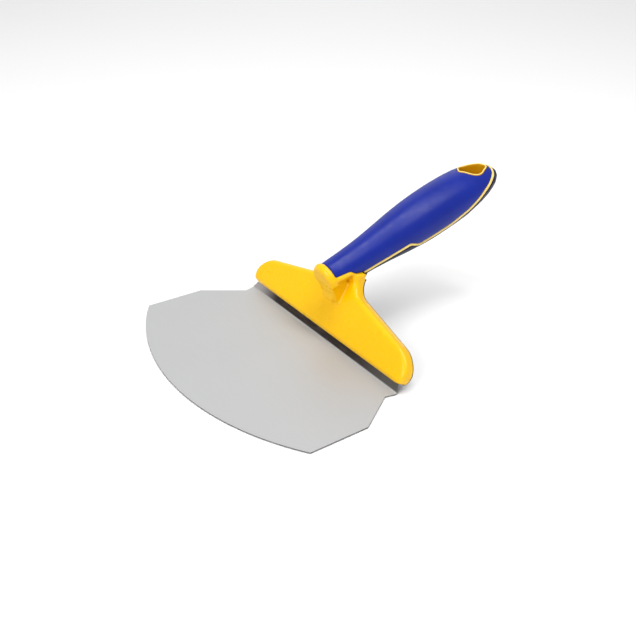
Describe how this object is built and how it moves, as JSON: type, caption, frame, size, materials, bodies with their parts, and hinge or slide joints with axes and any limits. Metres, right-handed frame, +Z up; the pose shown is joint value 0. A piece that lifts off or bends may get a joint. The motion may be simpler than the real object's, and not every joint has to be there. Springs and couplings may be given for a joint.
{
  "type": "drywall taping knife",
  "caption": "Half-moon steel taping knife with a bent-up back edge, a two-shell T-shaped head and a raised, soft-gripped handle with a teardrop hang hole.",
  "frame": {"origin": "centre of the bounding box in X and Y, on the plane that the blade's flat underside rests on", "axes": "+X across the blade, +Y from the scraping edge towards the handle's tail, +Z up from the blade"},
  "size_m": [0.203, 0.2558, 0.0924],
  "materials": {
    "blade_steel": "fine satin, rolled stainless steel",
    "yellow_shell": "glossy moulded polypropylene",
    "dark_shell": "semi-gloss moulded polypropylene",
    "blue_grip": "satin thermoplastic rubber",
    "dark_grip": "satin thermoplastic rubber",
    "bar_steel": "zinc-plated steel",
    "screw_steel": "zinc-plated steel"
  },
  "bodies": {
    "root": {"blade": "blade_steel", "front_shell": "yellow_shell", "rear_shell": "dark_shell", "upper_grip": "blue_grip", "lower_grip": "dark_grip", "hang_sleeve": "yellow_shell", "clamp_bar": "bar_steel", "blade_screws": "screw_steel", "handle_screws": "screw_steel"}
  },
  "joints": []
}
